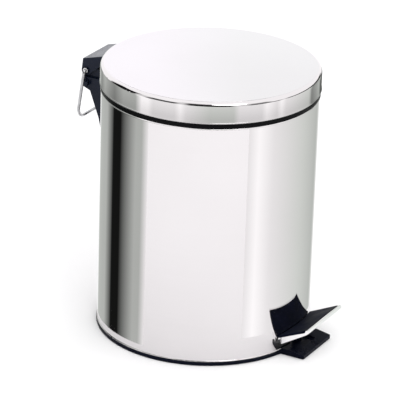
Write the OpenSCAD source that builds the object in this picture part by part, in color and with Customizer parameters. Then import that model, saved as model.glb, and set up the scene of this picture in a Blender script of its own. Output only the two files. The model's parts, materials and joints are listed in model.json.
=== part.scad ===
// Round pedal bin: polished steel body and lid, wide foot pedal, push rod, rear hinge and inner bucket.
// Millimetres, +Z up, the pedal faces -Y and the hinge +Y. The origin is on the body's axis at the floor.

/* [Body] */
// Outer diameter of the steel body
body_d = 205; // [200:1:210]
// Height of the body's rolled top edge above the floor
body_top_z = 238; // [230:1:260]
// Thickness of the steel sheet
sheet_t = 0.8; // [0.6:0.1:1.2]
// Height of the black base band under the body
base_band_h = 3.5; // [3:0.5:5]

/* [Lid] */
// Outer diameter of the lid
lid_d = 207; // [207:1:212]
// Height of the lid's outer edge above the floor, over that of the body
lid_rise = 25; // [22:0.5:26]
// Height of the dome at the middle of the lid
lid_dome = 1.2; // [0.6:0.2:2]
// Angle to which the pedal opens the lid
lid_open_deg = 75; // [70:1:80]

/* [Pedal] */
// Width of the pedal at its front edge
pedal_w = 68; // [60:1:72]
// Reach of the rubber pad from the body's axis
pad_reach = 127; // [122:1:130]
// Upward tilt of the pedal at rest
pedal_tilt = 24.7; // [22:0.1:26]
// Height of the pad's top where it meets the body
pad_root_z = 20.3; // [19:0.1:22]
// Distance of the lever's axle in front of the body's axis
axle_y = 54; // [50:1:58]
// Height of the lever's axle
axle_z = 14; // [13:0.5:15]

/* [Hinge] */
// Width of the hinge housing
hinge_w = 46; // [44:1:50]
// Distance of the hinge pin behind the body's axis
hinge_y = 122.3; // [121:0.1:124]
// Height of the hinge pin
hinge_z = 238; // [236:0.5:240]
// Length of the lid's inner arm, from hinge pin to link pin
arm_len = 27; // [26:0.5:28]

/* [Carry handle] */
// Diameter of the handle wire
wire_d = 3; // [2.5:0.5:3]
// Drop of the handle below the hinge pin
handle_drop = 51.5; // [45:0.5:60]
// Outward lean of the hanging handle
handle_lean = 8; // [5:0.5:12]

/* [Bucket] */
// Outer diameter of the bucket at its top
bucket_d = 176; // [170:1:176]
// Height of the bucket's rim above the floor
bucket_rim_z = 230; // [220:1:232]

/* [Hidden] */
$fn = 120;

body_r = body_d / 2;
body_in_r = body_r - sheet_t;
hem_r = 0.9;
band_r = body_r + 0.8;

floor_gap = 0.6;
inner_wall_r = body_r - sheet_t / 2 - hem_r - 0.2;
inner_wall_z = 14;
base_floor_z = 2;
foot_half_w = 28;
foot_reach = 123.8;
foot_root_h = 6.5;
foot_tip_h = 3.6;
pad_foot_r = 7;
pad_foot_ring_r = 82;
toe_foot_y = -113;

collar_h = 4.4;
collar_in_r = 92.5;
collar_top_z = body_top_z + collar_h;
slot_half_w = 9.5;

lid_r = lid_d / 2;
lid_bottom_z = collar_top_z + 0.4;
lid_edge_z = body_top_z + lid_rise;
lid_edge_r = 4;
liner_t = 1.6;
liner_r = lid_r - sheet_t - 0.4;
liner_rim_z = collar_top_z + 1.4;

hinge_half_w = hinge_w / 2;
pin_r = 2.6;
pin_half_len = hinge_half_w + 1.3;
knuckle_r = 4.8;
lug_in_x = 12;
lug_out_x = 20.1;
hood_wall = 2.5;
half_open = lid_open_deg / 2;
link_y = hinge_y - arm_len * cos(half_open);
link_z = hinge_z - arm_len * sin(half_open);
link_r = 1.5;

rod_r = 2;
rod_y = hinge_y - arm_len * (1 + cos(half_open)) / 2;
rod_swing = arm_len * (1 - cos(half_open)) / 2;
link_play = 0.65;
foot_ball_r = 2.9;
rod_rest_z = 10.4;
rod_foot_end = rod_rest_z + foot_ball_r + 1;

lever_half_w = 8;
lever_t = 2;
lever_wall = 1.6;
lever_end_y = 101.2;
lever_end_z = 10;
lever_front_z = 18.5;
axle_r = 2.5;

pad_t = 2;
plate_t = 1.5;
plate_reach = pad_reach + 1.6;
plate_side = 6.5;
plate_side_tip = -0.9;
lip_r = 1.8;
lip_y = -pad_reach - 2;
pad_root_r = body_r + 0.6;
plate_root_r = body_r + 1.2;
pedal_taper = 1.8;

tray_z = 46;
tray_t = 2;
bucket_r = bucket_d / 2;
bucket_bottom_z = tray_z + tray_t + 0.2;
bucket_taper = 2.5;
bucket_t = 1;
rim_r = 1.5;
bail_z = bucket_rim_z + 4;
bail_r = bucket_r - 3.5;
bail_wire_r = 1.3;

// ---- shared shapes ----

module tube(r_out, r_in, h) {
    difference() {
        cylinder(r = r_out, h = h);
        translate([0, 0, -1]) cylinder(r = r_in, h = h + 2);
    }
}

// A side profile drawn in Y and Z, given a width along X
module profile_x(x0, x1) {
    translate([x0, 0, 0])
        rotate([90, 0, 90])
            linear_extrude(x1 - x0) children();
}

module both_sides() {
    children();
    mirror([1, 0, 0]) children();
}

module rod_x(r, half_len) {
    rotate([0, 90, 0])
        translate([0, 0, -half_len])
            cylinder(r = r, h = 2 * half_len);
}

// Opening in the rear wall for the lid's arm and the head of the push rod
module rear_slot(z0, z1) {
    translate([-slot_half_w, 60, z0])
        cube([2 * slot_half_w, 60, z1 - z0]);
}

// ---- fixed parts ----

module outer_body() {
    color([0.86, 0.86, 0.88])
        difference() {
            union() {
                translate([0, 0, base_band_h + 0.1])
                    tube(body_r, body_in_r, body_top_z - base_band_h - 0.1 - hem_r);
                for (z = [base_band_h + 0.1 + hem_r, body_top_z - hem_r])
                    translate([0, 0, z])
                        rotate_extrude() translate([body_r - sheet_t / 2, 0]) circle(r = hem_r, $fn = 32);
            }
            translate([-10, -body_r - 5, 0]) cube([20, 12, pad_root_z + 1.2]);
            rear_slot(link_z - 8, body_top_z + 2);
            bracket_screw_places() cylinder(r = 1.7, h = 12, center = true);
        }
}

module top_collar() {
    color([0.05, 0.05, 0.06])
        difference() {
            rotate_extrude()
                polygon([[collar_in_r, collar_top_z], [collar_in_r, body_top_z + 1.6],
                         [inner_wall_r - 1.4, body_top_z + 1.6], [inner_wall_r - 1.4, body_top_z - 12],
                         [inner_wall_r, body_top_z - 12], [inner_wall_r, body_top_z],
                         [body_r + 0.4, body_top_z], [body_r + 0.4, collar_top_z]]);
            rear_slot(body_top_z - 13, collar_top_z + 1);
        }
}

module lid_bumpers() {
    color([0.12, 0.12, 0.13])
        for (a = [0, 90, 180, 225, 315])
            rotate([0, 0, a + 180])
                translate([98.5, 0, collar_top_z]) cylinder(r = 2.2, h = 1.2, $fn = 32);
}

module foot_outline() {
    corner_r = 1.5;
    for (x = [-foot_half_w + corner_r, foot_half_w - corner_r])
        translate([x, -foot_reach + corner_r]) circle(r = corner_r, $fn = 48);
    translate([-foot_half_w + corner_r, -foot_reach])
        square([2 * (foot_half_w - corner_r), corner_r * 2]);
    translate([-foot_half_w, -foot_reach + corner_r])
        square([2 * foot_half_w, foot_reach - 96 - corner_r]);
}

// Anti-tip foot under the pedal, thicker at its root and dished for the lever
module front_foot() {
    difference() {
        intersection() {
            linear_extrude(10) foot_outline();
            profile_x(-foot_half_w, foot_half_w)
                polygon([[-96, floor_gap], [-foot_reach - 1, floor_gap], [-foot_reach - 1, foot_tip_h],
                         [-body_r - 6, foot_root_h], [-96, foot_root_h]]);
        }
        translate([0, 0, base_band_h]) cylinder(r = body_r + 1.2, h = 10);
        translate([-12, -foot_reach + 8, base_band_h + 0.4]) cube([24, 30, 10]);
        translate([0, toe_foot_y, 0]) cylinder(r = 6.1, h = base_floor_z, $fn = 48);
    }
}

module base_moulding() {
    color([0.05, 0.06, 0.08])
        difference() {
            union() {
                translate([0, 0, floor_gap]) tube(band_r, 92, base_band_h - floor_gap);
                translate([0, 0, base_floor_z]) cylinder(r = 92.5, h = base_band_h - base_floor_z);
                translate([0, 0, base_band_h - 0.5])
                    tube(inner_wall_r, inner_wall_r - 2.5, inner_wall_z - base_band_h + 0.5);
                front_foot();
            }
            for (y = [-110, 60])
                translate([-11, y, base_band_h]) cube([22, 50, 20]);
            base_screw_places() cylinder(r = 1.7, h = 20, center = true, $fn = 32);
        }
}

module rubber_feet() {
    color([0.1, 0.1, 0.1]) {
        for (a = [45:90:315])
            rotate([0, 0, a]) translate([pad_foot_ring_r, 0, 0]) cylinder(r = pad_foot_r, h = base_floor_z, $fn = 48);
        translate([0, toe_foot_y, 0]) cylinder(r = 6, h = base_floor_z, $fn = 48);
    }
}

module base_screw_places() {
    for (x = [-16, 16], y = [-axle_y - 8, -axle_y + 8])
        translate([x, y, 0]) children();
}

module base_screws() {
    color([0.6, 0.6, 0.62])
        base_screw_places() {
            translate([0, 0, 0.7]) cylinder(r = 3, h = base_floor_z - 0.7, $fn = 32);
            translate([0, 0, 1.5]) cylinder(r = 1.5, h = 6, $fn = 32);
        }
}

module pivot_bracket() {
    ear_x = lever_half_w + 1.5;
    color([0.7, 0.7, 0.72])
        difference() {
            both_sides() {
                translate([0, -axle_y - 12, base_band_h]) cube([20, 24, 0.9]);
                translate([ear_x, -axle_y - 12, base_band_h]) cube([20 - ear_x, 24, 2]);
                profile_x(ear_x, ear_x + 2)
                    union() {
                        translate([-axle_y, axle_z]) circle(r = 5.5);
                        polygon([[-axle_y - 10, base_band_h], [-axle_y - 5.4, axle_z],
                                 [-axle_y + 5.4, axle_z], [-axle_y + 10, base_band_h]]);
                    }
            }
            translate([0, -axle_y, axle_z]) rod_x(axle_r + 0.05, 20);
            base_screw_places() cylinder(r = 1.6, h = 20, center = true, $fn = 32);
        }
}

module pivot_pin() {
    color([0.75, 0.75, 0.77])
        translate([0, -axle_y, axle_z]) {
            rod_x(axle_r, lever_half_w + 5.5);
            both_sides() translate([lever_half_w + 3.7, 0, 0]) rotate([0, 90, 0]) cylinder(r = 4, h = 1.8);
        }
}

// Raised floor that carries the bucket above the lever
module bucket_tray() {
    color([0.1, 0.1, 0.11])
        difference() {
            union() {
                translate([0, 0, tray_z]) cylinder(r = inner_wall_r, h = tray_t);
                translate([0, 0, inner_wall_z + 0.1])
                    tube(inner_wall_r, inner_wall_r - 2, tray_z - inner_wall_z);
            }
            translate([-11, -110, 10]) cube([22, 30, 16]);
            translate([-11, 60, 10]) cube([22, 50, tray_z - 10.1]);
            translate([0, rod_y, tray_z - 1]) cylinder(r = foot_ball_r + 0.5, h = 10);
        }
}

module rod_guides() {
    color([0.1, 0.1, 0.11])
        for (z = [90, 160])
            translate([0, 0, z])
                difference() {
                    intersection() {
                        translate([-6, rod_y - 4, 0]) cube([12, 20, 8]);
                        cylinder(r = body_in_r - 0.05, h = 8);
                    }
                    translate([0, rod_y, -1]) cylinder(r = rod_r + 0.08, h = 12);
                }
}

module bracket_screw_places() {
    for (x = [-16, 16], z = [199, 218.5])
        translate([x, body_r, z]) rotate([-90, 0, 0]) children();
}

// Fixed half of the hinge: side walls, back shell, saddle on the body and two pin lugs
module hinge_bracket() {
    tail_z = 178;
    seam_z = hinge_z - 6.5;
    belly_y = hinge_y + 3.5;
    color([0.05, 0.06, 0.08])
        difference() {
            union() {
                both_sides()
                    profile_x(hinge_half_w - hood_wall, hinge_half_w)
                        polygon([[95, tail_z], [104.3, tail_z], [107.6, 192.5], [117.6, 218.6],
                                 [belly_y - 0.8, 221.5], [belly_y, 224], [belly_y, seam_z], [95, seam_z]]);
                profile_x(-hinge_half_w + 0.1, hinge_half_w - 0.1)
                    polygon([[95, tail_z], [104.3, tail_z], [107.6, 192.5], [117.6, 218.6],
                             [belly_y - 0.8, 221.5], [belly_y, 224], [belly_y, seam_z],
                             [belly_y - 2.5, seam_z], [belly_y - 2.5, 224], [116, 221.2],
                             [105.3, 193], [102, 186], [95, 186]]);
                both_sides() profile_x(lug_in_x, lug_out_x) {
                    translate([hinge_y, hinge_z]) circle(r = knuckle_r - 0.2);
                    polygon([[95, 213], [95, hinge_z], [hinge_y - 3, hinge_z + 3.4],
                             [hinge_y + 4.2, hinge_z - 1.5], [hinge_y + 2, 224], [107, 213]]);
                }
                both_sides() translate([lug_in_x, 95, 193]) cube([lug_out_x - lug_in_x, 13, 12]);
                intersection() {
                    translate([0, 0, tail_z]) cylinder(r = body_r + 3, h = hinge_z - tail_z + 2);
                    translate([-hinge_half_w, 90, tail_z]) cube([hinge_w, 30, seam_z - tail_z]);
                }
                both_sides()
                    translate([hinge_half_w - 0.5, belly_y - 7.4, 224]) cube([4.7, 3.6, 4]);
            }
            translate([0, 0, tail_z - 5]) cylinder(r = body_r + 0.6, h = 80);
            rear_slot(link_z - 8, hinge_z + 20);
            translate([0, hinge_y, hinge_z]) rod_x(pin_r + 0.05, 30);
            bracket_screw_places() translate([0, 0, -2]) cylinder(r = 1.5, h = 7.5, $fn = 32);
        }
}

module bracket_screws() {
    color([0.6, 0.6, 0.62])
        bracket_screw_places() {
            translate([0, 0, -5.3]) cylinder(r = 3, h = 2.2, $fn = 32);
            translate([0, 0, -3.5]) cylinder(r = 1.45, h = 8.5, $fn = 32);
        }
}

// Pin with a bore in each end for the carry handle
module hinge_pin() {
    color([0.78, 0.78, 0.8])
        translate([0, hinge_y, hinge_z])
            difference() {
                rod_x(pin_r, pin_half_len);
                both_sides() translate([hinge_half_w - 7, 0, 0]) rotate([0, 90, 0])
                    cylinder(r = wire_d / 2 + 0.05, h = 12);
            }
}

module pin_caps() {
    color([0.06, 0.06, 0.08])
        both_sides()
            translate([hinge_half_w + 0.3, hinge_y, hinge_z])
                rotate([0, 90, 0]) tube(pin_r + 0.8, pin_r + 0.02, 1);
}

// ---- lid ----

module lid_section(r, top_z, bottom_z, edge_r) {
    dome_r = r * r / (2 * lid_dome);
    intersection() {
        union() {
            translate([0, bottom_z]) square([r - edge_r, top_z + lid_dome - bottom_z]);
            translate([0, bottom_z]) square([r, top_z - edge_r - bottom_z]);
            translate([r - edge_r, top_z - edge_r]) circle(r = edge_r, $fn = 64);
        }
        translate([0, top_z + lid_dome - dome_r]) circle(r = dome_r, $fn = 6000);
        translate([0, bottom_z]) square([r + 1, top_z + lid_dome]);
    }
}

module lid_shell() {
    color([0.88, 0.88, 0.9])
        difference() {
            union() {
                rotate_extrude()
                    difference() {
                        lid_section(lid_r, lid_edge_z, lid_bottom_z, lid_edge_r);
                        lid_section(lid_r - sheet_t, lid_edge_z - sheet_t, lid_bottom_z - 1, lid_edge_r - sheet_t);
                    }
                translate([0, 0, lid_bottom_z + 0.7])
                    rotate_extrude() translate([lid_r - 0.3, 0]) circle(r = 0.7, $fn = 32);
            }
            lid_screw_places() cylinder(r = 1.7, h = 20, center = true, $fn = 32);
        }
}

module lid_liner() {
    inner_top = lid_edge_z - sheet_t - 0.3;
    color([0.07, 0.07, 0.08])
        difference() {
            rotate_extrude()
                difference() {
                    translate([0, liner_rim_z]) square([liner_r, inner_top - liner_rim_z - 2]);
                    translate([0, liner_rim_z - 1]) square([liner_r - 6, 2.4]);
                    translate([0, liner_rim_z + 1.4]) square([liner_r - liner_t, inner_top - liner_rim_z - 5]);
                }
            lid_screw_places() cylinder(r = 1.7, h = 20, center = true, $fn = 32);
        }
}

module lid_screw_places() {
    for (x = [-10.3, 10.3])
        translate([x, lid_r, lid_bottom_z + 6.6]) rotate([-90, 0, 0]) children();
}

// Side shape of the hood, from the lid's skirt out to the knuckle
module hood_profile() {
    translate([hinge_y, hinge_z]) circle(r = knuckle_r);
    polygon([[lid_r + 1.5, lid_bottom_z + 3.4], [lid_r + 1.5, lid_edge_z - 7.9],
             [hinge_y + 3.5, hinge_z + 11.4], [hinge_y + knuckle_r, hinge_z],
             [hinge_y - 4.1, hinge_z - 2.4]]);
}

// Moving half of the hinge: a hood over the knuckle, with two arms that reach in to the push rod
module lid_hinge_hood() {
    roof_root_z = lid_edge_z - 7.5;
    roof_tip_z = hinge_z + 11.5;
    color([0.05, 0.06, 0.08])
        difference() {
            union() {
                profile_x(-hinge_half_w, hinge_half_w)
                    polygon([[lid_r - 4, roof_root_z + 1.6], [lid_r + 0.6, roof_root_z],
                             [hinge_y + 3.5, roof_tip_z], [hinge_y + 3.5, roof_tip_z - 2.2],
                             [lid_r - 4, roof_root_z - 1]]);
                both_sides() profile_x(hinge_half_w - hood_wall, hinge_half_w) hood_profile();
                both_sides() profile_x(lug_in_x - 0.4 - hood_wall, lug_in_x - 0.4) hood_profile();
                profile_x(-hinge_half_w + 1, hinge_half_w - 1)
                    translate([hinge_y + 1.9, hinge_z + 5.4]) square([1.6, 5]);
                profile_x(-lug_in_x + 0.4, lug_in_x - 0.4)
                    translate([hinge_y + 1.9, hinge_z]) square([1.6, 8]);
                translate([0, hinge_y, hinge_z]) rod_x(knuckle_r, lug_in_x - 0.4);
                intersection() {
                    translate([0, 0, lid_bottom_z + 2.2]) cylinder(r = lid_r + 2.2, h = 11);
                    translate([-hinge_half_w, 90, lid_bottom_z + 2.2]) cube([hinge_w, 30, 10]);
                }
                lid_screw_places() cylinder(r = 2.8, h = 9);
                both_sides() profile_x(4, 7) {
                    translate([link_y, link_z]) circle(r = 3.4);
                    translate([hinge_y, hinge_z]) rotate(180 + half_open)
                        translate([0, -3.4]) square([arm_len, 6.8]);
                }
            }
            translate([0, 0, lid_bottom_z - 1]) cylinder(r = lid_r + 0.15, h = 40);
            translate([0, hinge_y, hinge_z]) rod_x(pin_r + 0.08, 30);
            translate([0, link_y, link_z]) rod_x(link_r + 0.03, 10);
            lid_screw_places() translate([0, 0, -2]) cylinder(r = 1.5, h = 10, $fn = 32);
        }
}

module lid_screws() {
    color([0.6, 0.6, 0.62])
        lid_screw_places() {
            translate([0, 0, -5.8]) cylinder(r = 3, h = 1.9, $fn = 32);
            translate([0, 0, -5]) cylinder(r = 1.45, h = 11.8, $fn = 32);
        }
}

module link_pin() {
    color([0.78, 0.78, 0.8])
        translate([0, link_y, link_z]) {
            rod_x(link_r, 8.2);
            both_sides() translate([7.1, 0, 0]) rotate([0, 90, 0]) cylinder(r = 2.3, h = 1.1, $fn = 32);
        }
}

// ---- pedal ----

function pedal_z(y, drop) = pad_root_z + (-98 - y) * tan(pedal_tilt) - drop / cos(pedal_tilt);

// Outline of the tread seen from above: a concave edge round the body and sides that widen outwards
module tread_outline(inset, reach, root_r) {
    front_w = pedal_w / 2 - inset;
    difference() {
        polygon([[-front_w + pedal_taper, -96], [-front_w, -reach], [front_w, -reach],
                 [front_w - pedal_taper, -96]]);
        circle(r = root_r);
    }
}

module tread_layer(top_drop, bottom_drop, inset, reach, root_r) {
    intersection() {
        linear_extrude(60) tread_outline(inset, reach, root_r);
        profile_x(-pedal_w, pedal_w)
            polygon([[-90, pedal_z(-90, top_drop)], [-140, pedal_z(-140, top_drop)],
                     [-140, pedal_z(-140, bottom_drop)], [-90, pedal_z(-90, bottom_drop)]]);
    }
}

// Rolled front edge of the plate
module pedal_lip(clearance) {
    translate([0, lip_y, pedal_z(lip_y, pad_t)]) rod_x(lip_r + clearance, pedal_w / 2 + 0.2);
}

module pedal_pad() {
    color([0.06, 0.07, 0.12])
        difference() {
            tread_layer(0, pad_t, 0.7, pad_reach, pad_root_r);
            pedal_lip(0.1);
            pedal_rivet_places() translate([0, 0, plate_t - 1]) cylinder(r = 3.3, h = 2.05, $fn = 32);
        }
}

// Side shape of the plate's folded-down flanges, which run out towards the front
module side_flange_profile() {
    polygon([[-90, pedal_z(-90, pad_t + 0.3)], [-140, pedal_z(-140, pad_t + 0.3)],
             [-140, pedal_z(-140, pad_t + plate_t + plate_side_tip)],
             [-90, pedal_z(-90, pad_t + plate_t + plate_side)]]);
}

module pedal_plate() {
    color([0.85, 0.85, 0.87])
        difference() {
            union() {
                tread_layer(pad_t + 0.05, pad_t + plate_t, 0, plate_reach, plate_root_r);
                difference() {
                    intersection() {
                        linear_extrude(60) tread_outline(0, plate_reach, plate_root_r);
                        profile_x(-pedal_w, pedal_w) side_flange_profile();
                    }
                    tread_layer(pad_t - 1, pad_t + plate_t + plate_side + 1, plate_t, pad_reach + 4, body_r);
                    translate([-20, -pad_reach - 4, 0]) cube([40, 30, 60]);
                    translate([0, 0, -1]) cylinder(r = plate_root_r + plate_t + 1, h = 60);
                }
                pedal_lip(0);
            }
            pedal_rivet_places() cylinder(r = 2, h = 20, center = true, $fn = 32);
        }
}

module pedal_rivet_places() {
    for (x = [-4, 4])
        translate([x, -113, pedal_z(-113, pad_t + plate_t)]) rotate([-pedal_tilt, 0, 0]) children();
}

module pedal_rivets() {
    color([0.7, 0.7, 0.72])
        pedal_rivet_places() {
            translate([0, 0, -lever_t - 1]) cylinder(r = 3, h = 0.9, $fn = 32);
            translate([0, 0, -lever_t - 0.5]) cylinder(r = 1.95, h = lever_t + plate_t + 1, $fn = 32);
            translate([0, 0, plate_t + 0.05]) cylinder(r = 3, h = 0.9, $fn = 32);
        }
}

// Channel-section lever: under the tread, through the wall, over the axle and back to the push rod
module pedal_lever() {
    under = pad_t + plate_t + 0.05;
    web = [[-122, pedal_z(-122, under)], [-103.2, pedal_z(-103.2, under)], [-100, lever_front_z],
           [-40, lever_front_z], [60, lever_end_z], [lever_end_y, lever_end_z],
           [lever_end_y, lever_end_z - lever_t], [60, lever_end_z - lever_t], [-40, lever_front_z - lever_t],
           [-101, lever_front_z - lever_t], [-102.7, pedal_z(-102.7, under + lever_t)],
           [-122, pedal_z(-122, under + lever_t)]];
    cheek = [[-96, lever_front_z - 1], [-40, lever_front_z - 1], [60, lever_end_z - 1], [92, lever_end_z - 1],
             [84, 6.4], [60, 5.6], [-38, 9], [-70, 9], [-92, 15]];
    color([0.72, 0.72, 0.74])
        difference() {
            union() {
                profile_x(-lever_half_w, lever_half_w) polygon(web);
                both_sides() profile_x(lever_half_w - lever_wall, lever_half_w) polygon(cheek);
            }
            translate([0, -axle_y, axle_z]) rod_x(axle_r + 0.08, 20);
            pedal_rivet_places() cylinder(r = 2, h = 20, center = true, $fn = 32);
        }
}

// ---- push rod ----

module push_rod() {
    color([0.78, 0.78, 0.8])
        difference() {
            union() {
                translate([0, rod_y, rod_foot_end]) cylinder(r = rod_r, h = link_z - 3.5 - rod_foot_end);
                profile_x(-2, 2) rod_slot_shape(4.2);
            }
            profile_x(-3, 3) rod_slot_shape(link_r + link_play);
        }
}

// Slotted eye at the top of the rod; the link pin moves along it as the lid turns
module rod_slot_shape(r) {
    for (y = [-rod_swing, rod_swing])
        translate([rod_y + y, link_z]) circle(r = r);
    translate([rod_y - rod_swing, link_z - r]) square([2 * rod_swing, 2 * r]);
}

module rod_foot() {
    color([0.08, 0.08, 0.09])
        translate([0, rod_y, rod_rest_z + foot_ball_r])
            difference() {
                union() {
                    sphere(r = foot_ball_r, $fn = 64);
                    cylinder(r = foot_ball_r, h = 7);
                }
                translate([0, 0, 0.9]) cylinder(r = rod_r + 0.02, h = 10);
            }
}

// ---- carry handle ----

// Wire bail whose ends turn in at the top and run in the bores of the hinge pin
module carry_handle() {
    wire_r = wire_d / 2;
    leg_x = hinge_half_w + 3.5;
    top_bend_r = 2.6;
    bend_r = 13;
    drop = handle_drop - wire_r;
    stub_x = hinge_half_w - 5;
    color([0.86, 0.86, 0.88])
        translate([0, hinge_y, hinge_z])
            rotate([handle_lean, 0, 0]) {
                both_sides() {
                    translate([stub_x, 0, 0]) rotate([0, 90, 0])
                        cylinder(r = wire_r, h = leg_x - top_bend_r - stub_x, $fn = 40);
                    translate([leg_x - top_bend_r, 0, -top_bend_r])
                        rotate([90, 0, 0])
                            rotate_extrude(angle = 90) translate([top_bend_r, 0]) circle(r = wire_r, $fn = 40);
                    translate([leg_x, 0, bend_r - drop])
                        cylinder(r = wire_r, h = drop - bend_r - top_bend_r, $fn = 40);
                    translate([leg_x - bend_r, 0, bend_r - drop])
                        rotate([90, 0, 0]) rotate([0, 0, -90])
                            rotate_extrude(angle = 90) translate([bend_r, 0]) circle(r = wire_r, $fn = 40);
                }
                translate([0, 0, -drop]) rod_x(wire_r, leg_x - bend_r);
            }
}

// ---- bucket ----

module inner_bucket() {
    low_r = bucket_r - bucket_taper;
    color([0.13, 0.13, 0.14])
        union() {
            rotate_extrude()
                difference() {
                    polygon([[0, bucket_bottom_z], [low_r - 3, bucket_bottom_z], [low_r, bucket_bottom_z + 3],
                             [bucket_r, bucket_rim_z], [0, bucket_rim_z]]);
                    polygon([[0, bucket_bottom_z + 1.4], [low_r - 3, bucket_bottom_z + 1.4],
                             [low_r - bucket_t, bucket_bottom_z + 3.4], [bucket_r - bucket_t, bucket_rim_z + 0.1],
                             [0, bucket_rim_z + 0.1]]);
                }
            translate([0, 0, bucket_rim_z])
                rotate_extrude() translate([bucket_r, 0]) circle(r = rim_r, $fn = 40);
        }
}

module bucket_ears() {
    color([0.7, 0.7, 0.72])
        both_sides()
            difference() {
                profile_x(bucket_r - 3, bucket_r - rim_r - 0.1) {
                    translate([0, bail_z]) circle(r = 4);
                    translate([-4, bucket_rim_z - 9]) square([8, bail_z - bucket_rim_z + 9]);
                }
                translate([0, 0, bail_z]) rod_x(bail_wire_r + 0.08, 100);
            }
}

module bucket_handle() {
    color([0.8, 0.8, 0.82])
        translate([0, 0, bail_z]) {
            rotate([0, 0, 180])
                rotate_extrude(angle = 180) translate([bail_r - 1.5, 0]) circle(r = bail_wire_r, $fn = 40);
            both_sides() translate([bail_r - 1.5, 0, 0]) {
                sphere(r = bail_wire_r, $fn = 40);
                rotate([0, 90, 0]) cylinder(r = bail_wire_r, h = 6, $fn = 40);
            }
        }
}

outer_body();
top_collar();
lid_bumpers();
base_moulding();
rubber_feet();
base_screws();
pivot_bracket();
pivot_pin();
bucket_tray();
rod_guides();
hinge_bracket();
bracket_screws();
hinge_pin();
pin_caps();
lid_shell();
lid_liner();
lid_hinge_hood();
lid_screws();
link_pin();
pedal_lever();
pedal_plate();
pedal_pad();
pedal_rivets();
push_rod();
rod_foot();
carry_handle();
inner_bucket();
bucket_ears();
bucket_handle();
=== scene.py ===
"""Looks of the round pedal bin: materials, small fittings, studio and camera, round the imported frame."""

import json
import math

import bmesh
import bpy
from mathutils import Matrix, Vector

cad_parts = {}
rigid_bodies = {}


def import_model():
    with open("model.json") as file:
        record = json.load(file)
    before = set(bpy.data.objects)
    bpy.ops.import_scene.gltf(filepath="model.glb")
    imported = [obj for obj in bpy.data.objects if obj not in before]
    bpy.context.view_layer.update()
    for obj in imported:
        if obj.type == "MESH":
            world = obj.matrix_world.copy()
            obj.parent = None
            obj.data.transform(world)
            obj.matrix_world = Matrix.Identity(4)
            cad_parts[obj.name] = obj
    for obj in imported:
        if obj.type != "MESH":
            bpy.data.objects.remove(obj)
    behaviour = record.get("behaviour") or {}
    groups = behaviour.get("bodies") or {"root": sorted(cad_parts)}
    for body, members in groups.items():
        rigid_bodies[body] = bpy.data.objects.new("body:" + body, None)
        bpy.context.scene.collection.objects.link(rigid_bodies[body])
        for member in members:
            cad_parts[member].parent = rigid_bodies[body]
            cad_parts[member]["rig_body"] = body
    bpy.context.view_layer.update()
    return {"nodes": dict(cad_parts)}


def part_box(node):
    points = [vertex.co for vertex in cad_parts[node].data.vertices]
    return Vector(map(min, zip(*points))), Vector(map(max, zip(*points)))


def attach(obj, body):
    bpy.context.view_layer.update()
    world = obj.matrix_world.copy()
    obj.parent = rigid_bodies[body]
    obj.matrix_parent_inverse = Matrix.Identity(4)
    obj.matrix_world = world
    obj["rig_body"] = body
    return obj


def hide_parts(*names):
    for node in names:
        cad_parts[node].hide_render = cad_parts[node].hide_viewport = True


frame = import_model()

# ---- sizes taken from the frame ----

BODY_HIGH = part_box("outer_body")[1]
LID_LOW, LID_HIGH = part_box("lid_shell")
BODY_RADIUS = BODY_HIGH.x
SKIRT_INSET = 0.004
SKIRT_LOW_Z = LID_LOW.z + SKIRT_INSET
SKIRT_HIGH_Z = LID_HIGH.z - SKIRT_INSET

# ---- the camera: angles in degrees, lengths in metres ----

CAMERA_AZIMUTH = math.radians(-61.6)
CAMERA_ELEVATION = math.radians(23.2)
CAMERA_ROLL = 0.033
CAMERA_DISTANCE = 2.7726
CAMERA_LENS = 262.4
AIM_HEIGHT = 0.11505
AIM_RIGHT = 0.002284
AIM_UP = -0.003245

CAMERA_SIDE = Vector((math.sin(CAMERA_AZIMUTH), -math.cos(CAMERA_AZIMUTH), 0.0))
CAMERA_RIGHT = Vector((math.cos(CAMERA_AZIMUTH), math.sin(CAMERA_AZIMUTH), 0.0))


# ---- colours, as linear RGB ----

STEEL_BRIGHT = (0.745, 0.723, 0.732)
STEEL_DULL = (0.700, 0.675, 0.683)
PEDAL_BRIGHT = (0.92, 0.91, 0.92)
PEDAL_DULL = (0.86, 0.84, 0.85)
WIRE_BRIGHT = (0.52, 0.52, 0.53)
WIRE_DULL = (0.36, 0.36, 0.37)
ZINC_BRIGHT = (0.60, 0.60, 0.61)
ZINC_DULL = (0.44, 0.44, 0.45)
SCREW_BRIGHT = (0.64, 0.64, 0.64)
SCREW_DULL = (0.50, 0.50, 0.50)
PLASTIC_DARK = (0.0035, 0.0060, 0.0150)
PLASTIC_LIGHT = (0.0055, 0.0090, 0.0215)
COLLAR_DARK = (0.0010, 0.0010, 0.0014)
COLLAR_LIGHT = (0.0022, 0.0022, 0.0030)
BASE_DARK = (0.0012, 0.0019, 0.0060)
BASE_LIGHT = (0.0024, 0.0034, 0.0100)
INNER_DARK = (0.020, 0.020, 0.022)
INNER_LIGHT = (0.030, 0.030, 0.033)
BUCKET_DARK = (0.030, 0.030, 0.033)
BUCKET_LIGHT = (0.046, 0.046, 0.050)
PAD_DARK = (0.0012, 0.0022, 0.0080)
PAD_LIGHT = (0.0030, 0.0046, 0.0150)
FOOT_DARK = (0.018, 0.018, 0.019)
FOOT_LIGHT = (0.034, 0.034, 0.035)
DUST = (0.30, 0.30, 0.31)
# painted sheen: the grey laid on faces that point up, standing for the sky's light on them
TOP_SHEEN_GREY = (0.34, 0.35, 0.38)
WORN_EDGE = (0.07, 0.08, 0.10)
RUBBER_BLOOM = (0.20, 0.20, 0.21)
PAPER_DARK = (0.87, 0.87, 0.875)
PAPER_LIGHT = (0.89, 0.89, 0.89)


# ---- node materials ----

# the colour sockets of a mix node, which share their names with its other sockets
MIX_A = 6
MIX_B = 7
MIX_RESULT = 2

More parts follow.
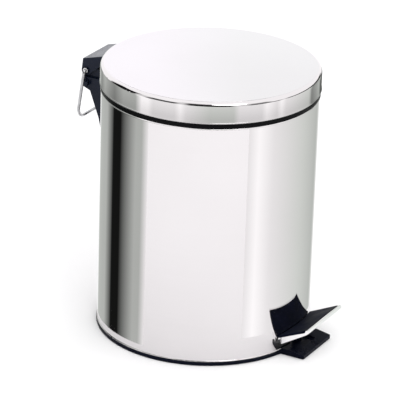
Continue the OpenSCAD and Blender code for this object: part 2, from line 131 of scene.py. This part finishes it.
# width of the rubbed edges, and the half-widths at which the planished weld starts and ends
EDGE_WEAR = 0.0006
WELD_CORE = 0.0003
WELD_EDGE = 0.0009

# scale and strength of the moulded grain
FINE_GRAIN = (2600.0, 0.06)
INNER_GRAIN = (1800.0, 0.20)
BUCKET_GRAIN = (1500.0, 0.22)


class Material:
    """A procedural material: one Principled shader fed by textures in the object's own coordinates."""

    def __init__(self, name, metallic=0.0, specular=0.5):
        self.data = bpy.data.materials.new(name)
        self.data.use_nodes = True
        self.tree = self.data.node_tree
        self.shader = self.tree.nodes["Principled BSDF"]
        self.shader.inputs["Metallic"].default_value = metallic
        self.shader.inputs["Specular IOR Level"].default_value = specular
        self.place = self.node("ShaderNodeTexCoord").outputs["Object"]
        self.normal = None

    def node(self, kind, **settings):
        made = self.tree.nodes.new(kind)
        for key, value in settings.items():
            setattr(made, key, value)
        return made

    def link(self, output, socket):
        self.tree.links.new(output, socket)

    def noise(self, scale, detail=3.0, stretch=(1.0, 1.0, 1.0)):
        mapping = self.node("ShaderNodeMapping")
        mapping.inputs["Scale"].default_value = stretch
        self.link(self.place, mapping.inputs["Vector"])
        texture = self.node("ShaderNodeTexNoise")
        texture.inputs["Scale"].default_value = scale
        texture.inputs["Detail"].default_value = detail
        self.link(mapping.outputs["Vector"], texture.inputs["Vector"])
        return texture.outputs[0]

    def cells(self, scale):
        texture = self.node("ShaderNodeTexVoronoi")
        texture.inputs["Scale"].default_value = scale
        self.link(self.place, texture.inputs["Vector"])
        return texture.outputs["Distance"]

    def spread(self, value, low, high, start=0.3, end=0.7):
        """Maps a texture's range onto another range of numbers."""
        made = self.node("ShaderNodeMapRange")
        made.inputs["From Min"].default_value = start
        made.inputs["From Max"].default_value = end
        made.inputs["To Min"].default_value = low
        made.inputs["To Max"].default_value = high
        self.link(value, made.inputs["Value"])
        return made.outputs["Result"]

    def math(self, operation, first, second=None):
        made = self.node("ShaderNodeMath", operation=operation)
        for socket, value in zip(made.inputs, (first, second)):
            if value is None:
                continue
            if isinstance(value, (int, float)):
                socket.default_value = value
            else:
                self.link(value, socket)
        return made.outputs["Value"]

    def mix(self, factor, first, second):
        """Blends two colours, each an RGB tuple or a socket."""
        made = self.node("ShaderNodeMix", data_type="RGBA")
        self.link(factor, made.inputs["Factor"])
        for socket, value in ((made.inputs[MIX_A], first), (made.inputs[MIX_B], second)):
            if isinstance(value, tuple):
                socket.default_value = (*value, 1.0)
            else:
                self.link(value, socket)
        return made.outputs[MIX_RESULT]

    def bump(self, height, strength, distance):
        made = self.node("ShaderNodeBump")
        made.inputs["Strength"].default_value = strength
        made.inputs["Distance"].default_value = distance
        self.link(height, made.inputs["Height"])
        if self.normal is not None:
            self.link(self.normal, made.inputs["Normal"])
        self.normal = made.outputs["Normal"]

    def coordinate(self, axis):
        parts = self.node("ShaderNodeSeparateXYZ")
        self.link(self.place, parts.inputs["Vector"])
        return parts.outputs[axis]

    def edge_wear(self, width):
        """High along outer edges, from the mesh's own bevel normals."""
        bevel = self.node("ShaderNodeBevel", samples=4)
        bevel.inputs["Radius"].default_value = width
        geometry = self.node("ShaderNodeNewGeometry")
        dot = self.node("ShaderNodeVectorMath", operation="DOT_PRODUCT")
        self.link(bevel.outputs["Normal"], dot.inputs[0])
        self.link(geometry.outputs["Normal"], dot.inputs[1])
        return self.spread(dot.outputs["Value"], 1.0, 0.0, 0.75, 1.0)

    def finish(self, colour, roughness):
        self.link(colour, self.shader.inputs["Base Color"])
        self.link(roughness, self.shader.inputs["Roughness"])
        if self.normal is not None:
            self.link(self.normal, self.shader.inputs["Normal"])
        return self.data


def polished_steel(name, bright, dull, skirt=None, seam=False):
    """Mirror-polished stainless sheet: faint polishing lines, finger smudges and a slight waviness.

    skirt gives the heights over which a spun rim is painted darker towards its lower edge, as painted
    shade, and turns from a satin to a polished finish going up; seam adds the planished weld down the
    rear."""
    made = Material(name, metallic=1.0)
    smudge = made.noise(11.0, 5.0)
    haze = made.noise(5.0, 3.0)
    lines = made.noise(1.0, 4.0, (5.0, 5.0, 1500.0))
    tone = made.math("ADD", made.math("MULTIPLY", haze, 0.85), made.math("MULTIPLY", lines, 0.15))
    colour = made.mix(made.spread(tone, 0.0, 1.0), dull, bright)
    smeared = made.spread(smudge, 0.03, 0.075, 0.45, 0.7)
    rough = made.math("ADD", smeared, made.spread(lines, 0.0, 0.015))
    if skirt:
        # painted shade: the skirt's colour darkens towards its lower edge; the added roughness there is a
        # real satin finish
        skirt_shade_and_satin = made.spread(made.coordinate("Z"), 1.0, 0.0, *skirt)
        colour = made.mix(skirt_shade_and_satin, colour, tuple(0.80 * c for c in dull))
        rough = made.math("ADD", rough, made.math("MULTIPLY", skirt_shade_and_satin, 0.05))
    if seam:
        beside = made.math("ABSOLUTE", made.coordinate("X"))
        rear = made.spread(made.coordinate("Y"), 0.0, 1.0, 0.0, 0.01)
        weld = made.math("MULTIPLY", made.spread(beside, 1.0, 0.0, WELD_CORE, WELD_EDGE), rear)
        rough = made.math("ADD", rough, made.math("MULTIPLY", weld, 0.25))
        made.bump(weld, 0.3, 0.0001)
    made.bump(made.noise(9.0, 1.0, (1.0, 1.0, 0.25)), 0.2, 0.0006)
    made.bump(lines, 0.02, 0.00003)
    return made.finish(colour, rough)


def plated_metal(name, bright, dull, rough_low, rough_high, grain, grain_strength):
    """Plated or zinc-coated steel: small cloudy spangle, drawing lines and duller patches."""
    made = Material(name, metallic=1.0)
    cloud = made.noise(160.0, 4.0)
    patch = made.noise(35.0, 3.0)
    colour = made.mix(made.spread(cloud, 0.0, 1.0), dull, bright)
    rough = made.spread(patch, rough_low, rough_high)
    made.bump(made.noise(1.0, 3.0, grain), grain_strength, 0.00005)
    return made.finish(colour, rough)


def moulded_plastic(name, dark, light, rough, grain, dust, settled=0.0, specular=0.15):
    """Injection-moulded plastic: spark-eroded grain, slow flow marks, dust and rubbed edges.

    rough is a (low, high) range, grain a (scale, strength) pair, and the last argument sets the painted
    sheen laid on faces that point up, for the light on their tops."""
    made = Material(name, specular=specular)
    flow = made.noise(22.0, 3.0)
    speck = made.noise(900.0, 2.0)
    base = made.mix(made.spread(flow, 0.0, 1.0), dark, light)
    dusty = made.mix(made.spread(speck, 0.0, dust, 0.55, 0.8), base, DUST)
    worn = made.mix(made.math("MULTIPLY", made.edge_wear(EDGE_WEAR), 0.25), dusty, WORN_EDGE)
    if settled:
        # painted sheen: faces that point up are lightened in speckles, standing for the sky's light on
        # their tops
        parts = made.node("ShaderNodeSeparateXYZ")
        made.link(made.node("ShaderNodeNewGeometry").outputs["Normal"], parts.inputs["Vector"])
        upward = made.math("MULTIPLY", made.spread(parts.outputs["Z"], 0.0, settled, 0.6, 0.95), speck)
        worn = made.mix(upward, worn, TOP_SHEEN_GREY)
    made.bump(made.cells(grain[0]), grain[1], 0.00006)
    made.bump(flow, 0.04, 0.0004)
    return made.finish(worn, made.spread(made.noise(60.0, 4.0), *rough))


def rubber(name, dark, light, rough_low, rough_high, specular=0.2):
    """Soft rubber: pebbled skin, scuffed lighter patches and a powdery bloom in the hollows."""
    made = Material(name, specular=specular)
    scuff = made.noise(75.0, 6.0)
    bloom = made.noise(380.0, 3.0)
    base = made.mix(made.spread(scuff, 0.0, 1.0, 0.35, 0.75), dark, light)
    dusty = made.mix(made.spread(bloom, 0.0, 0.05, 0.55, 0.8), base, RUBBER_BLOOM)
    rough = made.spread(scuff, rough_low, rough_high)
    made.bump(made.cells(1500.0), 0.18, 0.00008)
    made.bump(scuff, 0.05, 0.0002)
    return made.finish(dusty, rough)


FINISHES = {
    "polished_steel": polished_steel("polished_steel_pedal", PEDAL_BRIGHT, PEDAL_DULL),
    "chrome_wire": plated_metal(
        "chrome_plated_wire", WIRE_BRIGHT, WIRE_DULL, 0.06, 0.16, (700.0, 700.0, 60.0), 0.05
    ),
    "black_plastic": moulded_plastic(
        "black_moulded_plastic", BASE_DARK, BASE_LIGHT, (0.24, 0.36), FINE_GRAIN, 0.02,
        specular=0.04,
    ),
    "inner_plastic": moulded_plastic(
        "inner_moulded_plastic", INNER_DARK, INNER_LIGHT, (0.40, 0.55), INNER_GRAIN, 0.08
    ),
    "bucket_plastic": moulded_plastic(
        "bucket_moulded_plastic", BUCKET_DARK, BUCKET_LIGHT, (0.38, 0.55), BUCKET_GRAIN, 0.10
    ),
    "pad_rubber": rubber("pedal_pad_rubber", PAD_DARK, PAD_LIGHT, 0.42, 0.58, 0.03),
    "foot_rubber": rubber("foot_pad_rubber", FOOT_DARK, FOOT_LIGHT, 0.60, 0.80),
    "plain_steel": plated_metal(
        "zinc_plated_steel", ZINC_BRIGHT, ZINC_DULL, 0.22, 0.40, (40.0, 900.0, 900.0), 0.10
    ),
    "fastener_steel": plated_metal(
        "turned_plated_steel", SCREW_BRIGHT, SCREW_DULL, 0.16, 0.30, (900.0, 900.0, 900.0), 0.08
    ),
}


def dress_frame():
    """Gives each CAD node the finish of its material slot, and some of them a finish of their own."""
    for part in frame["nodes"].values():
        for holder in part.material_slots:
            holder.material = FINISHES[holder.material.name.split(".")[0]]
    special = {
        "outer_body": polished_steel("polished_steel_body", STEEL_BRIGHT, STEEL_DULL, seam=True),
        # the lid's skirt carries painted shade, darker towards its lower edge
        "lid_shell": polished_steel(
            "polished_steel_lid", STEEL_BRIGHT, STEEL_DULL, (SKIRT_LOW_Z, SKIRT_HIGH_Z)
        ),
        "top_collar": moulded_plastic(
            "collar_plastic", COLLAR_DARK, COLLAR_LIGHT, (0.30, 0.42), FINE_GRAIN, 0.02,
            specular=0.05,
        ),
        # the hood's top carries the painted sheen
        "lid_hinge_hood": moulded_plastic(
            "hinge_hood_plastic", PLASTIC_DARK, PLASTIC_LIGHT, (0.26, 0.38), FINE_GRAIN, 0.03,
            settled=0.75,
        ),
        "hinge_bracket": moulded_plastic(
            "hinge_bracket_plastic", PLASTIC_DARK, PLASTIC_LIGHT, (0.26, 0.38), FINE_GRAIN, 0.03
        ),
    }
    for node, material in special.items():
        frame["nodes"][node].material_slots[0].material = material


# ---- small fittings ----

HEAD_RADIUS = 0.003
SHANK_RADIUS = 0.00145
THREAD_TURNS = 9
# head height and shank length of each set
SCREW_SIZES = {
    "base_screws": (0.0013, 0.0055),
    "bracket_screws": (0.0018, 0.0078),
    "lid_screws": (0.0019, 0.0100),
}


def ring(bm, radius, height, sides=24):
    """A loop of new vertices round the Z axis."""
    turns = [math.tau * i / sides for i in range(sides)]
    return [bm.verts.new((radius * math.cos(t), radius * math.sin(t), height)) for t in turns]


def bridge(bm, first, second):
    """Joins two loops of vertices with a band of faces."""
    for i, vert in enumerate(first):
        j = (i + 1) % len(first)
        bm.faces.new((vert, first[j], second[j], second[i]))


def loop_edges(bm, loop):
    return [bm.edges.get((loop[i], loop[(i + 1) % len(loop)])) for i in range(len(loop))]


def cross_screw(bm, place, head_height, length):
    """Pan-head screw along local +Z with its head at z = 0, domed, with a cross-shaped recess."""
    start = len(bm.verts)
    outline = [(0.62, 0.0), (0.86, 0.10), (0.97, 0.34), (1.0, 0.60), (1.0, 1.0)]
    loops = [ring(bm, HEAD_RADIUS * r, head_height * h) for r, h in outline]
    thread_pitch = length / THREAD_TURNS
    for i in range(THREAD_TURNS):
        height = head_height + thread_pitch * (i + 0.5)
        loops.append(ring(bm, SHANK_RADIUS * 0.86, height - thread_pitch * 0.4))
        loops.append(ring(bm, SHANK_RADIUS, height))
    loops.append(ring(bm, SHANK_RADIUS * 0.3, head_height + length))
    for first, second in zip(loops, loops[1:]):
        bridge(bm, first, second)
    bm.faces.new(list(reversed(loops[-1])))
    half, arm, deep = HEAD_RADIUS * 0.12, HEAD_RADIUS * 0.5, head_height * 0.75
    corner = [(arm, half), (half, half), (half, arm)]
    cross = []
    for quarter in range(4):
        turn = Matrix.Rotation(math.tau * quarter / 4, 3, "Z")
        cross += [turn @ Vector((x, y, 0.0)) for x, y in corner]
    cross = [cross[-1], *cross[:-1]]
    rim = [bm.verts.new(v) for v in cross]
    bottom = [bm.verts.new((v.x * 0.8, v.y * 0.8, deep)) for v in cross]
    bridge(bm, rim, bottom)
    bm.faces.new(bottom)
    edges = loop_edges(bm, loops[0]) + loop_edges(bm, rim)
    bmesh.ops.triangle_fill(bm, use_beauty=True, edges=edges)
    bm.verts.ensure_lookup_table()
    bmesh.ops.transform(bm, matrix=place, verts=bm.verts[start:])


def screw_set(name, node, along, places):
    """Replaces a CAD node of plain screws with cross-recessed ones; along points from head to tip."""
    bm = bmesh.new()
    turned = Vector(along).to_track_quat("Z", "Y").to_matrix().to_4x4()
    for spot in places:
        cross_screw(bm, Matrix.Translation(spot) @ turned, *SCREW_SIZES[node])
    bmesh.ops.recalc_face_normals(bm, faces=bm.faces)
    mesh = bpy.data.meshes.new(name)
    bm.to_mesh(mesh)
    bm.free()
    mesh.materials.append(FINISHES["fastener_steel"])
    screws = bpy.data.objects.new(name, mesh)
    bpy.context.scene.collection.objects.link(screws)
    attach(screws, frame["nodes"][node]["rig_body"])
    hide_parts(node)


def make_screws():
    """Places each set of screws by the box of the CAD node that it replaces."""
    low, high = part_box("base_screws")
    inset = HEAD_RADIUS
    rows = (low.y + inset, high.y - inset)
    spots = [(x, y, low.z) for x in (low.x + inset, high.x - inset) for y in rows]
    screw_set("base_screw_set", "base_screws", (0, 0, 1), spots)
    for node in ("bracket_screws", "lid_screws"):
        low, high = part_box(node)
        heights = (low.z + inset, high.z - inset)
        if node == "lid_screws":
            heights = (low.z + inset,)
        spots = [(x, low.y, z) for x in (low.x + inset, high.x - inset) for z in heights]
        screw_set(node[:-1] + "_set", node, (0, 1, 0), spots)


# ---- studio ----

# tones of the cards, as the glow of each
WHITE = 1.36
PALE = 1.10
LIGHT_GREY = 0.86
GREY = 0.60
DARK_GREY = 0.34
DIM = 0.12
BLACK = 0.01
GREEN_TINT = 0.05

# colours of the sky card from its cool end to its warm end, as its glow
SKY_COOL = (1.20, 1.22, 1.23)
SKY_BETWEEN = (1.31, 1.30, 1.35)
SKY_WARM = (1.36, 1.34, 1.40)

# where the cards stand: how far off the body's wall, or off the bin for those of the room
CARD_STEPS = 48
CARD_MARGIN = 0.002
NEAR_REACH = 0.018
WIDE_REACH = 0.05
ROOM_DISTANCE = 4.0
SKY_DISTANCE = 3.0

# how far the room's flags fade at their ends, in degrees
FLAG_FADE = 6
HIGH_FLAG_FADE = 18

# heights of the room's cards and of the sky, and the sky's two ends in degrees
ROOM_LOW = (0.01, 1.1)
ROOM_MIDDLE = (1.1, 3.2)
ROOM_HIGH = (3.2, 6.6)
SKY_HEIGHTS = (0.9, 2.4)
SKY_START = 166
SKY_END = 194

FLOOR_HALF = 8.0
WORLD_COLOUR = (1.0, 0.995, 1.0, 1.0)
WORLD_STRENGTH = 1.25
SOFTBOX_PLACE = (-1.2, -1.6, 2.6)
SOFTBOX_TARGET = (0.0, 0.0, 0.1)
SOFTBOX_SIZE = 1.6
SOFTBOX_POWER = 22.0


def glossy_only(card):
    """A stage card that shows in reflections and nowhere else."""
    card.visible_camera = False
    card.visible_diffuse = False
    card.visible_shadow = False


def card_material(name, stops):
    """Glowing card whose grey changes along its length, from a list of (place, red, green, blue)."""
    made = bpy.data.materials.new(name)
    made.use_nodes = True
    tree = made.node_tree
    tree.nodes.clear()
    out = tree.nodes.new("ShaderNodeOutputMaterial")
    glow = tree.nodes.new("ShaderNodeEmission")
    ramp = tree.nodes.new("ShaderNodeValToRGB")
    uv = tree.nodes.new("ShaderNodeTexCoord")
    parts = tree.nodes.new("ShaderNodeSeparateXYZ")
    while len(ramp.color_ramp.elements) < len(stops):
        ramp.color_ramp.elements.new(1.0)
    for element, (place, *grey) in zip(ramp.color_ramp.elements, stops):
        element.position = place
        element.color = (*grey, 1.0)
    tree.links.new(uv.outputs["UV"], parts.inputs["Vector"])
    tree.links.new(parts.outputs["X"], ramp.inputs["Fac"])
    tree.links.new(ramp.outputs["Color"], glow.inputs["Color"])
    tree.links.new(glow.outputs["Emission"], out.inputs["Surface"])
    return made


def standing_card(name, points, material, bottom, top):
    """Upright card through points on the floor plan, with its length mapped from 0 to 1."""
    mesh = bpy.data.meshes.new(name)
    bm = bmesh.new()
    layer = bm.loops.layers.uv.new("UVMap")
    low = [bm.verts.new((p.x, p.y, bottom)) for p in points]
    high = [bm.verts.new((p.x, p.y, top)) for p in points]
    last = len(points) - 1
    for i in range(last):
        face = bm.faces.new((low[i], low[i + 1], high[i + 1], high[i]))
        for loop, along in zip(face.loops, (i, i + 1, i + 1, i)):
            loop[layer].uv = (along / last, 0.5)
    bm.to_mesh(mesh)
    bm.free()
    card = bpy.data.objects.new(name, mesh)
    bpy.context.scene.collection.objects.link(card)
    mesh.materials.append(material)
    glossy_only(card)


def mirrored_points(side, start, end, reach):
    """Floor points that the body's wall mirrors to the camera, between two angles.

    The angles are degrees round the wall from the camera's side, to the right where side is 1 and to
    the left where it is -1."""
    points = []
    for i in range(CARD_STEPS + 1):
        turn = math.radians(start + (end - start) * i / CARD_STEPS)
        wall = CAMERA_SIDE * math.cos(turn) + CAMERA_RIGHT * side * math.sin(turn)
        away = CAMERA_SIDE * math.cos(2 * turn) + CAMERA_RIGHT * side * math.sin(2 * turn)
        points.append(wall * BODY_RADIUS + away * reach)
    return points


def mirrored_height(height, reach):
    """Height at which the camera's view, mirrored by the body's wall, meets a card at this reach."""
    return height - reach * math.tan(CAMERA_ELEVATION)


def tone_stops(tones, tint=0.0):
    """Card stops from (angle off the camera's side, tone) pairs; tint leans the greys to green."""
    first, last = tones[0][0], tones[-1][0]
    stops = []
    for turn, tone in tones:
        lean = 1 - tint * (tone < PALE)
        stops.append(((turn - first) / (last - first), tone * lean, tone, tone * lean))
    return stops


def mirror_card(name, side, tones, reach, bottom, top):
    """A card that the body's wall mirrors to the camera, with its tone given against the angle."""
    points = mirrored_points(side, tones[0][0], tones[-1][0], reach)
    standing_card(name, points, card_material(name, tone_stops(tones, GREEN_TINT)), bottom, top)


def far_card(name, start, end, distance, heights, stops):
    """An upright card far off, between two angles from the camera's side."""
    points = []
    for i in range(CARD_STEPS + 1):
        turn = math.radians(start + (end - start) * i / CARD_STEPS)
        points.append((CAMERA_SIDE * math.cos(turn) + CAMERA_RIGHT * math.sin(turn)) * distance)
    standing_card(name, points, card_material(name, stops), *heights)


def room_card(name, flags, gap, soft, heights):
    """A far card made of (start, end, tone) flags, with soft edges and a lighter gap between them."""
    tones = []
    for start, end, tone in flags:
        tones += [(start - soft, gap), (start, tone), (end, tone), (end + soft, gap)]
    far_card(name, tones[0][0], tones[-1][0], ROOM_DISTANCE, heights, tone_stops(tones))


def make_side_cards():
    """A dark flag and grey flags close to the body's sides, and grey strips round the lid's skirt."""
    near_top = mirrored_height(BODY_HIGH.z, NEAR_REACH) + CARD_MARGIN
    wide_top = mirrored_height(BODY_HIGH.z, WIDE_REACH) + CARD_MARGIN
    dark_side = [
        (88, WHITE), (80, GREY), (68, GREY), (61, DIM), (60, BLACK), (53, BLACK), (46, DARK_GREY),
        (41, GREY), (37, GREY), (33, PALE),
    ]
    mirror_card("card_left", -1, dark_side, NEAR_REACH, CARD_MARGIN, near_top)
    grey_side = [(21, PALE), (27, WHITE), (36, PALE), (59, LIGHT_GREY), (77, GREY), (88, WHITE)]
    mirror_card("card_right", 1, grey_side, WIDE_REACH, CARD_MARGIN, wide_top)
    lid_left = [
        (88, LIGHT_GREY), (77, DARK_GREY), (70, GREY), (58, DARK_GREY), (50, GREY), (41, GREY),
        (37, WHITE), (33, WHITE), (30, PALE), (18, PALE), (15, WHITE), (12, PALE), (0, LIGHT_GREY),
    ]
    mirror_card("card_lid_left", -1, lid_left, NEAR_REACH, near_top, SKIRT_HIGH_Z)
    lid_right = [
        (0, LIGHT_GREY), (12, LIGHT_GREY), (15, PALE), (27, PALE), (30, WHITE), (36, PALE),
        (39, WHITE), (42, PALE), (61, LIGHT_GREY), (64, DARK_GREY), (75, GREY), (79, DIM), (83, DIM),
        (88, LIGHT_GREY),
    ]
    mirror_card("card_lid_right", 1, lid_right, NEAR_REACH, near_top, SKIRT_HIGH_Z)


def make_room_cards():
    """Dark flags on the camera's side, which draw the line on the lid's rounded edge, and a sky."""
    left = (-114, -84, BLACK)
    dim = (-63, -37, DIM)
    middle = (-21, 20, BLACK)
    low = [left, dim, middle, (42, 72, BLACK), (85, 146, BLACK)]
    room_card("card_room_low", low, LIGHT_GREY, FLAG_FADE, ROOM_LOW)
    halfway = [left, dim, middle, (44, 60, DARK_GREY)]
    room_card("card_room_middle", halfway, LIGHT_GREY, FLAG_FADE, ROOM_MIDDLE)
    room_card("card_room_high", [(-22, 18, DIM)], PALE, HIGH_FLAG_FADE, ROOM_HIGH)
    sky = [(0.0, *SKY_COOL), (0.45, *SKY_COOL), (0.6, *SKY_BETWEEN), (1.0, *SKY_WARM)]
    far_card("card_sky", SKY_START, SKY_END, SKY_DISTANCE, SKY_HEIGHTS, sky)


def make_floor():
    """A wide sheet of matt white paper at floor height."""
    mesh = bpy.data.meshes.new("studio_floor")
    half = FLOOR_HALF
    corners = [(-half, -half, 0.0), (half, -half, 0.0), (half, half, 0.0), (-half, half, 0.0)]
    mesh.from_pydata(corners, [], [(0, 1, 2, 3)])
    floor = bpy.data.objects.new("studio_floor", mesh)
    bpy.context.scene.collection.objects.link(floor)
    paper = Material("studio_paper", specular=0.0)
    colour = paper.mix(paper.noise(3.0), PAPER_DARK, PAPER_LIGHT)
    mesh.materials.append(paper.finish(colour, paper.spread(paper.noise(40.0), 0.85, 1.0)))


def make_world():
    world = bpy.data.worlds.new("studio")
    bpy.context.scene.world = world
    world.use_nodes = True
    sky = world.node_tree.nodes["Background"]
    sky.inputs["Color"].default_value = WORLD_COLOUR
    sky.inputs["Strength"].default_value = WORLD_STRENGTH


def make_light(name, place, target, size, power):
    data = bpy.data.lights.new(name, "AREA")
    data.shape = "DISK"
    data.size = size
    data.energy = power
    lamp = bpy.data.objects.new(name, data)
    bpy.context.scene.collection.objects.link(lamp)
    lamp.location = place
    lamp.rotation_mode = "QUATERNION"
    lamp.rotation_quaternion = (Vector(target) - Vector(place)).to_track_quat("-Z", "Y")


def make_camera():
    data = bpy.data.cameras.new("camera")
    data.lens = CAMERA_LENS
    data.clip_end = 50.0
    camera = bpy.data.objects.new("camera", data)
    bpy.context.scene.collection.objects.link(camera)
    back = CAMERA_SIDE * math.cos(CAMERA_ELEVATION) + Vector((0, 0, math.sin(CAMERA_ELEVATION)))
    up = back.cross(CAMERA_RIGHT)
    x_axis = CAMERA_RIGHT * math.cos(CAMERA_ROLL) + up * math.sin(CAMERA_ROLL)
    y_axis = up * math.cos(CAMERA_ROLL) - CAMERA_RIGHT * math.sin(CAMERA_ROLL)
    z_axis = (back + x_axis * AIM_RIGHT + y_axis * AIM_UP).normalized()
    x_axis = y_axis.cross(z_axis).normalized()
    y_axis = z_axis.cross(x_axis)
    turned = Matrix((x_axis, y_axis, z_axis)).transposed().to_4x4()
    place = back * CAMERA_DISTANCE + Vector((0, 0, AIM_HEIGHT))
    camera.matrix_world = Matrix.Translation(place) @ turned
    bpy.context.scene.camera = camera


# ---- the scene ----

bpy.context.scene.view_settings.view_transform = "Standard"
make_world()
make_floor()
make_side_cards()
make_room_cards()
make_light("softbox", SOFTBOX_PLACE, SOFTBOX_TARGET, SOFTBOX_SIZE, SOFTBOX_POWER)
make_camera()
dress_frame()
make_screws()
